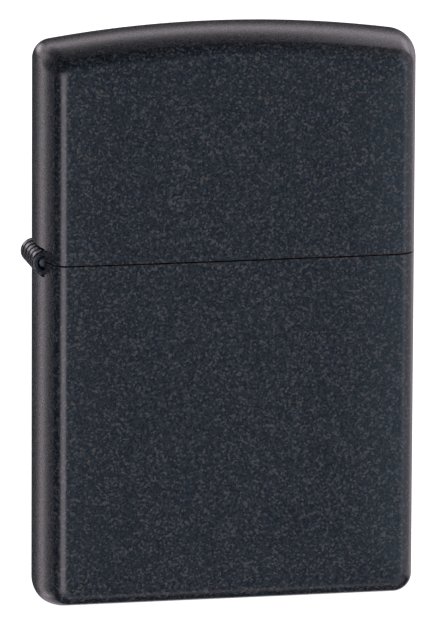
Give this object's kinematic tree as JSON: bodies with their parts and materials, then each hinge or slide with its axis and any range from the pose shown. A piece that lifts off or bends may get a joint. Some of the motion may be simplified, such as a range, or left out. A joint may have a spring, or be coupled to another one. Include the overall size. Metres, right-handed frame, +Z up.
{
  "type": "lighter",
  "caption": "Windproof petrol lighter, closed: flat rounded metal case, hinged flip-top lid with a crowned top, and an insert with windscreen, wick, knurled wheel, cam and flint feed.",
  "frame": {"origin": "centre of the flat bottom of the case, in the middle of its width without the hinge barrel", "axes": "+Z up, from the bottom to the crowned top; X is the width, with the hinge on the -X side; Y is the depth, with the front facing -Y"},
  "size_m": [0.0382, 0.0126, 0.0568],
  "materials": {
    "black_coat": "matte black powder coat with fine sparkle over brass",
    "brass": "plain drawn and turned brass",
    "stainless": "brushed stainless sheet",
    "spring_steel": "plain spring steel",
    "hard_steel": "hardened steel, knurled",
    "wick_fibre": "braided fibre",
    "flint_alloy": "pressed dark alloy",
    "felt": "pressed felt",
    "cotton": "loose cotton"
  },
  "bodies": {
    "case": {"case_shell": "black_coat", "case_hinge_leaf": "brass", "hinge_pin": "spring_steel", "insert_shell": "stainless", "chimney": "stainless", "wick": "wick_fibre", "flint_tube": "brass", "flint_spring": "spring_steel", "flint_screw": "brass", "wheel_rivet": "stainless", "cam_rivet": "stainless", "cam_spring": "spring_steel", "cam_spring_rivet": "stainless", "felt_pad": "felt", "packing_1": "cotton", "packing_2": "cotton", "packing_3": "cotton", "packing_4": "cotton", "packing_5": "cotton"},
    "lid": {"lid_shell": "black_coat", "lid_hinge_leaf": "brass"},
    "cam": {"cam_lever": "spring_steel"},
    "wheel": {"flint_wheel": "hard_steel"},
    "flint_feed": {"flint": "flint_alloy", "flint_plunger": "brass"}
  },
  "joints": [
    {"name": "lid_hinge", "type": "hinge", "parent": "case", "child": "lid", "pos_m": [-0.01825, 0, 0.0343], "axis": [0, -1, 0], "range_deg": [0, 120]},
    {"name": "cam_pivot", "type": "hinge", "parent": "case", "child": "cam", "pos_m": [-0.0125, 0, 0.0376], "axis": [0, 1, 0], "range_deg": [0, 12]},
    {"name": "wheel_spin", "type": "hinge", "parent": "case", "child": "wheel", "pos_m": [0.0074, 0, 0.0422], "axis": [0, 1, 0], "continuous": true},
    {"name": "flint_feed", "type": "slide", "parent": "case", "child": "flint_feed", "axis": [0, 0, 1], "range_m": [-0.002, 0], "stiffness_N_per_m": 60, "springref_m": 0.015, "deforming": ["flint_spring"]}
  ],
  "couplings": [
    {"joint": "cam_pivot", "follows": "lid_hinge", "ratio": 0.1}
  ]
}
